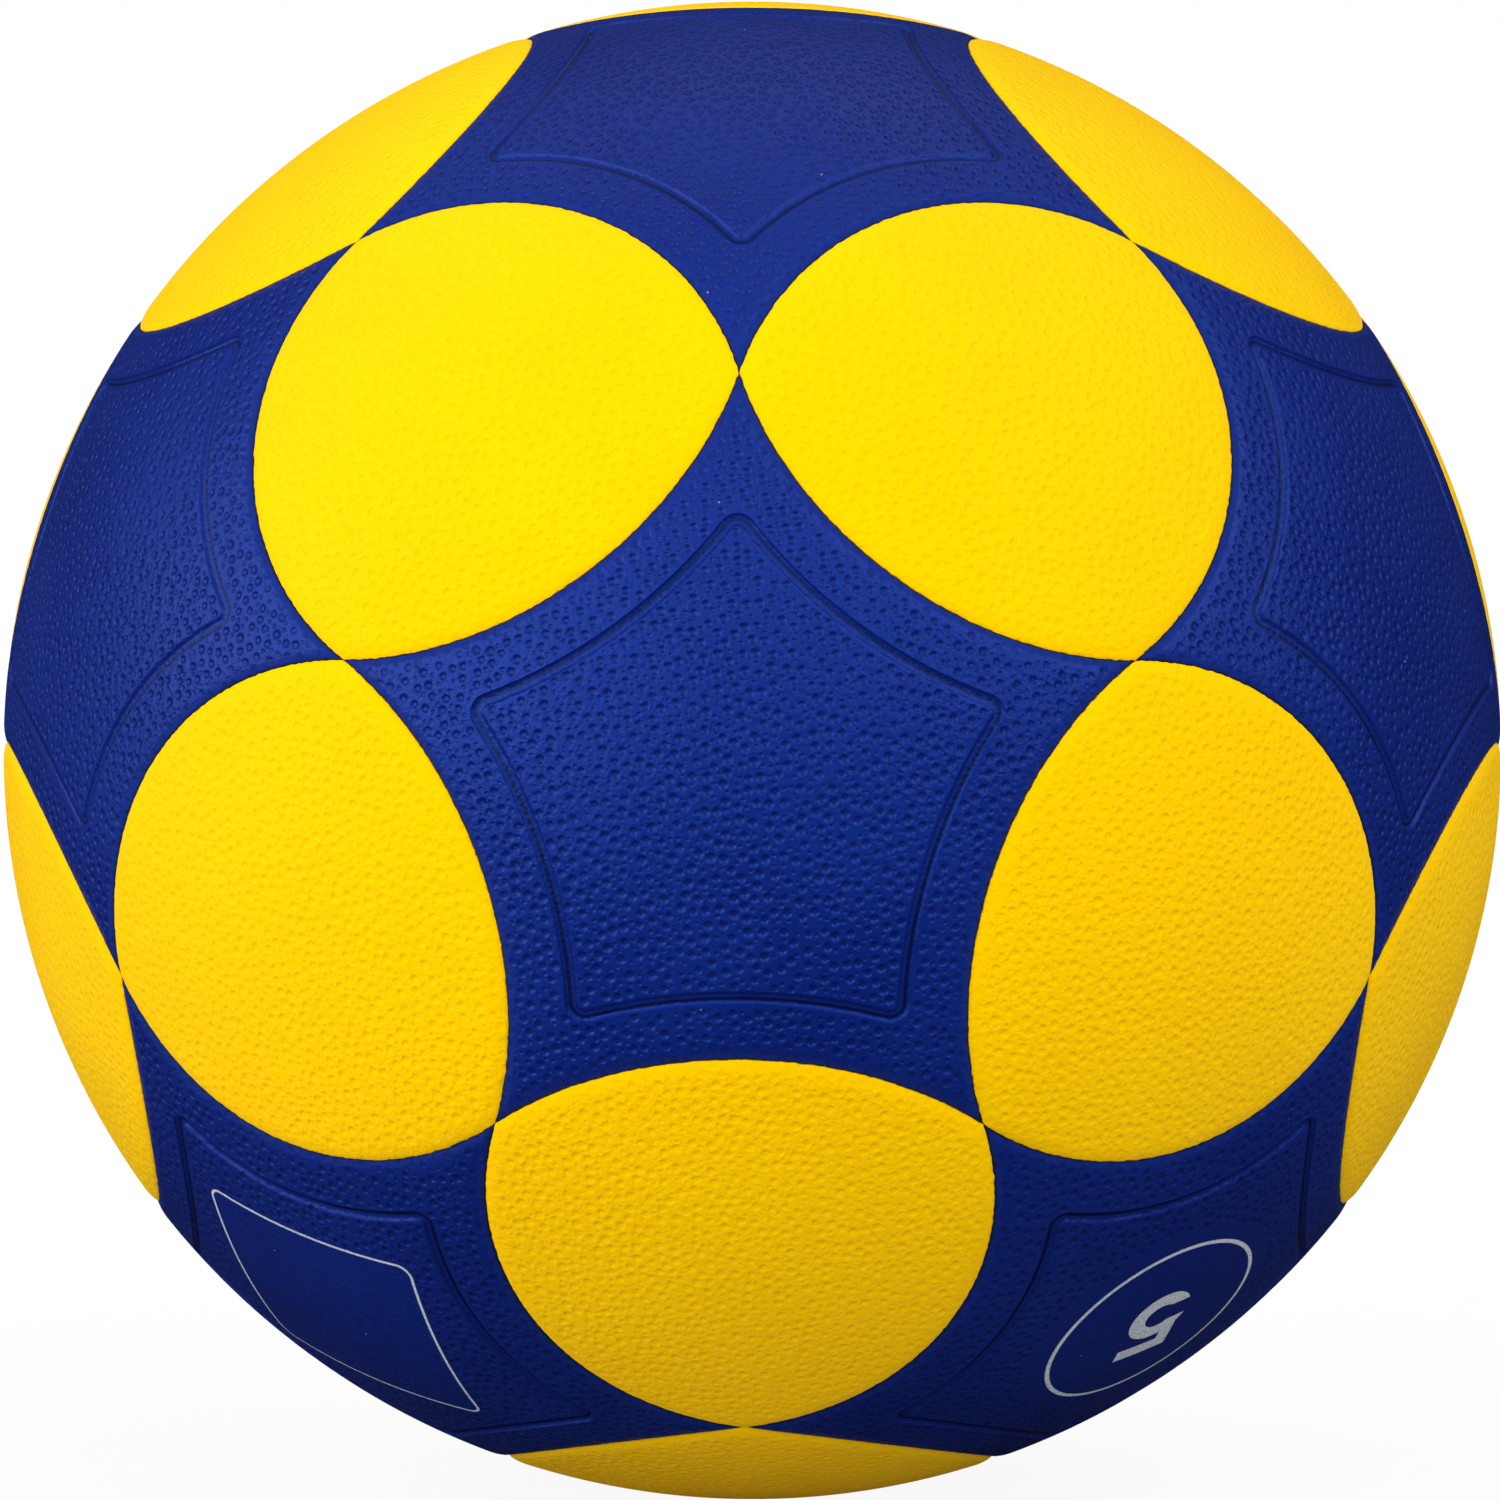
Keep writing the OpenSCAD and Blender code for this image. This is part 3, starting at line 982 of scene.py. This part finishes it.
def cover_rubber(name, light, dark, blotch_and_shade_colour, blotch_and_shade_share, pit_mm, roughness, shine, tint,
                 dust=None, ink=None):
    """Moulded rubber with pits. Ink is a function that draws a printed mark and returns its mask."""
    material, tree, shader = start_material(name)
    place = add(tree, "TexCoord").outputs["Object"]
    noises = {key: grain_of(tree, place, *settings) for key, settings in NOISES.items()}
    skin = read_skin(tree)
    base = blend(tree, fade(tree, noises["slow"], *NOISE_SPREAD), dark, light)
    # blotches of random tone, and painted shade in pits, along seams and in the groove
    for mask in blotches_and_painted_shade(tree, skin, noises["fine"], blotch_and_shade_share):
        base = blend(tree, mask, base, blotch_and_shade_colour)
    if dust:
        specks = add(tree, "TexVoronoi", {"Vector": place, "Scale": DUST_SCALE}).outputs["Distance"]
        base = blend(tree, fade(tree, specks, *DUST_R, 0.0, DUST_SHARE), base, dust)
    if ink:
        worn = fade(tree, noises["grain"], *WORN_INK)
        base = blend(tree, calc(tree, "MULTIPLY", ink(tree, place), worn), base, INK)
    tree.links.new(base, shader.inputs["Base Color"])
    tree.links.new(cover_shine(tree, skin, noises["slow"], roughness), shader.inputs["Roughness"])
    tree.links.new(cover_bump(tree, skin, noises, pit_mm), shader.inputs["Normal"])
    shader.inputs["Specular IOR Level"].default_value = shine
    shader.inputs["Specular Tint"].default_value = tint
    return material


# %% [markdown]
# ## Printed marks
#
# Two stars carry a mark in white ink: a ring with the size number, and a blank field to write a name
# in. A mark is drawn with a distance to its shape: less than nothing inside the line, more outside. The
# Mapping node turns the ball's coordinates until the panel faces up, and gives them in millimetres.

# %% Drawing with distances
INK_EDGE = 0.09                           # a line's edge fades over twice this, in mm


def on_panel(tree, place, panel, turn):
    """Across and up on a panel, in mm, after a turn on the panel's middle."""
    facing_up = Matrix.Rotation(-turn, 3, "Z") @ STARS[panel].transposed()
    in_mm = {"Vector": place, "Rotation": facing_up.to_euler(), "Scale": (1 / MM,) * 3}
    split = add(tree, "SeparateXYZ", {0: add(tree, "Mapping", in_mm).outputs[0]})
    return split.outputs[0], split.outputs[1]


def length_of(tree, u, v):
    return calc(tree, "SQRT", calc(tree, "MULTIPLY_ADD", u, u, calc(tree, "MULTIPLY", v, v)))


def past_sides(tree, u, v, at, half):
    """How far across and up a point lies past the sides of an upright bar."""
    return tuple(calc(tree, "SUBTRACT", off_by(tree, w, middle), side)
                 for w, middle, side in zip((u, v), at, half))


def bar(tree, u, v, at, half):
    """Distance to an upright bar."""
    return calc(tree, "MAXIMUM", *past_sides(tree, u, v, at, half))


def circle_line(tree, u, v, at, radius, width):
    """Distance to a circle drawn with a line."""
    away = length_of(tree, calc(tree, "SUBTRACT", u, at[0]), calc(tree, "SUBTRACT", v, at[1]))
    return calc(tree, "SUBTRACT", off_by(tree, away, radius), width / 2)


def inked(tree, distance):
    return fade(tree, distance, INK_EDGE, -INK_EDGE)


# %% [markdown]
# The numeral is put together from simple shapes. The smaller of two distances joins their shapes, and
# the larger one keeps only what lies in both, so a bowl with a bar taken away is open on its left. All
# sizes are in mm.

# %% The two marks
NUMERAL_TURN = math.radians(144)
RING = dict(at=(-0.6, 0), radius=17.2, width=0.68)
TOP_BAR = dict(at=(-0.4, 5.9), half=(4.5, 1.35))
STROKE = dict(at=(-3.7, 3.4), half=(1.2, 3.3))
BOWL = dict(at=(-0.9, -2.3), radius=3.85, width=2.7)
MOUTH = dict(at=(-5.5, -2.4), half=(3.1, 1.85))
FIELD_HALF, FIELD_CORNER, FIELD_W = 18.2, 2.2, 0.42


def size_ring(tree, place):
    """Ring with the numeral of the ball's size: a bar, a stroke and an open bowl."""
    u, v = on_panel(tree, place, RING_PANEL, NUMERAL_TURN)
    not_mouth = calc(tree, "MULTIPLY", bar(tree, u, v, **MOUTH), -1.0)
    mark = calc(tree, "MAXIMUM", circle_line(tree, u, v, **BOWL), not_mouth)
    for shape in (bar(tree, u, v, **TOP_BAR), bar(tree, u, v, **STROKE), circle_line(tree, u, v, **RING)):
        mark = calc(tree, "MINIMUM", mark, shape)
    return inked(tree, mark)


def name_field(tree, place):
    """Outline of a square with round corners."""
    u, v = on_panel(tree, place, NAME_PANEL, NAME_FIELD_TURN)
    middle = [x / MM for x in NAME_FIELD_AT]
    du, dv = past_sides(tree, u, v, middle, (FIELD_HALF - FIELD_CORNER,) * 2)
    outside = length_of(tree, calc(tree, "MAXIMUM", du, 0.0), calc(tree, "MAXIMUM", dv, 0.0))
    inside = calc(tree, "MINIMUM", calc(tree, "MAXIMUM", du, dv), 0.0)
    away = calc(tree, "SUBTRACT", calc(tree, "ADD", outside, inside), FIELD_CORNER)
    return inked(tree, calc(tree, "SUBTRACT", calc(tree, "ABSOLUTE", away), FIELD_W / 2))


# %% [markdown]
# The colours were matched to the photograph under this lesson's lamps. The blue is deep and shines
# strongly, the yellow is almost dull. All stars share one recipe, and two of them also get their ink.

# %% Paint the cover
# the darkest colour in each recipe is that of the blotches and of the shade painted in pits, along seams
# and in the groove
BLUES = dict(light=colour(2, 30, 116), dark=colour(2, 27, 110), blotch_and_shade_colour=colour(1, 4, 40),
             blotch_and_shade_share=0.34, pit_mm=0.26, roughness=0.43, shine=1.0, tint=colour(92, 132, 255),
             dust=colour(190, 196, 205))
YELLOWS = dict(light=colour(252, 200, 0), dark=colour(250, 197, 0), blotch_and_shade_colour=colour(236, 170, 0),
               blotch_and_shade_share=0.03, pit_mm=0.13, roughness=0.48, shine=0.1, tint=colour(255, 226, 20))
yellow_rubber = cover_rubber("yellow_rubber", **YELLOWS)
blue_rubber = cover_rubber("blue_rubber", **BLUES)
ring_rubber = cover_rubber("blue_rubber_size_ring", ink=size_ring, **BLUES)
field_rubber = cover_rubber("blue_rubber_name_field", ink=name_field, **BLUES)

for panel, piece in covers.items():
    finish = yellow_rubber if panel in PETALS else blue_rubber
    finish = {RING_PANEL: ring_rubber, NAME_PANEL: field_rubber}.get(panel, finish)
    piece.data.materials.clear()
    piece.data.materials.append(finish)
print("cover painted with", len({p.data.materials[0] for p in covers.values()}), "materials,",
      len(blue_rubber.node_tree.nodes), "nodes in the blue one")

# %% [markdown]
# ## Inside the ball
#
# The carcass, the thread winding and the bladder are hidden, but a reader who takes the ball apart will
# see them. They keep their CAD shape and get plain working finishes: dark brown rubber, wound nylon
# thread and dark grey butyl. The valve's two pieces are finished in the same way. A cloudy noise is
# enough for plain rubber, since nothing is pressed or printed there.

# %% Plain rubber
CLOUD_DETAIL, PLAIN_GRAIN = 5.0, (4000.0, 3.0)
PLAIN_UNEVEN_SHINE = 0.12
PLAIN_GRAIN_MM = 0.03


def plain_rubber(name, light, dark, roughness, scale):
    """Unpainted rubber: cloudy colour, fine grain."""
    material, tree, shader = start_material(name)
    place = add(tree, "TexCoord").outputs["Object"]
    cloud = grain_of(tree, place, scale, CLOUD_DETAIL)
    grain = grain_of(tree, place, *PLAIN_GRAIN)
    base = blend(tree, fade(tree, cloud, *NOISE_SPREAD), dark, light)
    tree.links.new(base, shader.inputs["Base Color"])
    shine = fade(tree, cloud, *NOISE_SPREAD, roughness, roughness + PLAIN_UNEVEN_SHINE)
    tree.links.new(shine, shader.inputs["Roughness"])
    bump = add(tree, "Bump", {"Height": grain, "Strength": 0.6, "Distance": PLAIN_GRAIN_MM * MM})
    tree.links.new(bump.outputs["Normal"], shader.inputs["Normal"])
    return material


# %% [markdown]
# A machine winds kilometres of thread on the bladder, a little turned with each round. Real strands
# would need millions of faces where nobody looks, so three sets of waves stand for them, and the
# highest strand is on top.

# %% Wound thread
WINDINGS = ((0.2, 0.1, 0.0), (1.1, 0.4, 0.3), (-0.9, 0.2, 1.3))
STRANDS = {"Scale": 330.0, "Distortion": 1.5, "Detail": 2.0}
STRAND_MM = 0.15


def wound_thread():
    """Nylon thread wound round the ball in three directions."""
    material, tree, shader = start_material("nylon_thread")
    place = add(tree, "TexCoord").outputs["Object"]
    height = None
    for turn in WINDINGS:
        turned = add(tree, "Mapping", {"Vector": place, "Rotation": turn}).outputs[0]
        strands = add(tree, "TexWave", {"Vector": turned, **STRANDS}).outputs["Fac"]
        height = strands if height is None else calc(tree, "MAXIMUM", height, strands)
    # painted shade: the thread is darker in the hollows between the strands, lighter on their tops
    base = blend(tree, height, colour(168, 160, 140), colour(236, 231, 216))
    tree.links.new(base, shader.inputs["Base Color"])
    shader.inputs["Roughness"].default_value = 0.5
    bump = add(tree, "Bump", {"Height": height, "Strength": 0.8, "Distance": STRAND_MM * MM})
    tree.links.new(bump.outputs["Normal"], shader.inputs["Normal"])
    return material


# %% [markdown]
# Now the finishes go onto the pieces. The casing's three CAD meshes only change their material. The
# stem shows at the back of the ball and is as blue as the star round it. The core is dark, so that a
# player can tell where the needle goes in.

# %% Finishes of the casing and the valve
carcass_rubber = plain_rubber("carcass_rubber", colour(60, 52, 48), colour(46, 40, 38), 0.6, 60.0)
bladder_butyl = plain_rubber("bladder_butyl", colour(44, 44, 46), colour(34, 34, 36), 0.45, 40.0)
valve_rubber = plain_rubber("valve_rubber", colour(22, 38, 118), colour(17, 30, 100), 0.5, 300.0)
core_rubber = plain_rubber("core_rubber", colour(40, 40, 42), colour(30, 30, 32), 0.55, 300.0)
FINISHES = {"rubber_carcass": carcass_rubber, "thread_winding": wound_thread(), "bladder": bladder_butyl}
for node, finish in FINISHES.items():
    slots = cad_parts[node].data.materials
    slots.clear()
    slots.append(finish)
stem_piece.data.materials.append(valve_rubber)
core_piece.data.materials.append(core_rubber)
print("casing finished:", ", ".join(FINISHES))

# %% [markdown]
# ## Floor and light
#
# The ball rests on a pale floor before a white background. Nothing of the floor's own shape shows, so a
# large flat grid at the foot of the ball is enough.

# %% Floor
FLOOR_HALF = 6.0
bm = bmesh.new()
bmesh.ops.create_grid(bm, x_segments=8, y_segments=8, size=FLOOR_HALF)
bmesh.ops.translate(bm, verts=bm.verts[:], vec=(0, 0, -BALL_R))
floor_mesh = bpy.data.meshes.new("studio_floor")
bm.to_mesh(floor_mesh)
bm.free()
floor = bpy.data.objects.new("studio_floor", floor_mesh)
bpy.context.collection.objects.link(floor)
print("floor", 2 * FLOOR_HALF, "m wide, at the foot of the ball")

# %% [markdown]
# A plain white floor would light the ball from below, and the underside in the photograph is dark. So
# the floor answers each kind of ray in its own way: almost white by itself to the camera, with a share
# of real shading that keeps the shadow, mid grey with a faint glow towards the ball's colour, and dark
# towards its shine. The glow is painted light that brightens the ball's underside.

# %% Paint the floor
TONE, TONE_IN_SHINE, TONE_SEEN = colour(168, 168, 168), colour(25, 25, 25), colour(250, 250, 250)
SHADOW_FROM, SHADOW_TO = 0.12, 0.5        # the shadow fades between these, in metres from the middle
WHITE_NEAR, GLOW = 0.92, 0.15             # share of the floor's own light to the camera, and to the ball
material, tree, shader = start_material("pale_floor")
path = add(tree, "LightPath").outputs
seen = path["Is Camera Ray"]
tone = blend(tree, path["Is Glossy Ray"], TONE, TONE_IN_SHINE)
tone = blend(tree, seen, tone, TONE_SEEN)
tree.links.new(tone, shader.inputs["Base Color"])
shader.inputs["Roughness"].default_value = 0.9
place = add(tree, "TexCoord").outputs["Object"]
away = add(tree, "VectorMath", {0: place}, operation="LENGTH").outputs["Value"]
white = add(tree, "Emission", {"Color": (1, 1, 1, 1), "Strength": 1.0})
share = calc(tree, "MULTIPLY", seen, fade(tree, away, SHADOW_FROM, SHADOW_TO, WHITE_NEAR, 1.0))
share = calc(tree, "MULTIPLY_ADD", path["Is Diffuse Ray"], GLOW, share)
mixed = add(tree, "MixShader", {0: share, 1: shader.outputs[0], 2: white.outputs[0]})
tree.links.new(mixed.outputs[0], tree.nodes["Material Output"].inputs["Surface"])
floor_mesh.materials.append(material)
print("floor painted, with", GLOW, "of its own light towards the ball")

# %% [markdown]
# The background is white to the camera, a soft even light for colours, and nearly black for the shine:
# a white room mirrored all round would make the blue milky. It could be a room of cards, but one Light
# Path node does it.

# %% World
AMBIENT, GLOSSY_AMBIENT = 0.42, 0.03
world = bpy.data.worlds.new("white_studio")
bpy.context.scene.world = world
world.use_nodes = True
tree = world.node_tree
path = add(tree, "LightPath")
back = tree.nodes["Background"]
back.inputs["Color"].default_value = (1, 1, 1, 1)
strength = fade(tree, path.outputs["Is Glossy Ray"], 0.0, 1.0, AMBIENT, GLOSSY_AMBIENT)
strength = calc(tree, "MAXIMUM", strength, path.outputs["Is Camera Ray"])
tree.links.new(strength, back.inputs["Strength"])
print("world light", AMBIENT, "and", GLOSSY_AMBIENT, "in the shine")

# %% [markdown]
# The photograph has soft, broad shine and no hard shadow, as from large soft boxes. Area lamps are
# those boxes: one to the left, one in front, one to the right, and a weak one above and behind for the
# top of the ball. Each is turned to the ball's middle.

# %% Lamps
SOFT_BOXES = {                            # place, width and height in metres, watts
    "left_box": ((-1.86, -1.08, 0.66), (3.4, 1.5), 47.0),
    "front_box": ((-0.70, -1.70, 1.50), (3.4, 2.2), 17.0),
    "right_box": ((1.50, -1.05, 1.30), (2.4, 2.2), 37.0),
    "top_box": ((-0.2, 0.80, 1.90), (2.6, 1.3), 6.0),
}
for name, (spot, size, watts) in SOFT_BOXES.items():
    lamp = bpy.data.lights.new(name, "AREA")
    lamp.shape = "RECTANGLE"
    lamp.size, lamp.size_y = size
    lamp.energy = watts
    box = bpy.data.objects.new(name, lamp)
    box.location = spot
    box.rotation_euler = (-Vector(spot)).to_track_quat("-Z", "Y").to_euler()
    bpy.context.collection.objects.link(box)
print("lit by", ", ".join(SOFT_BOXES))
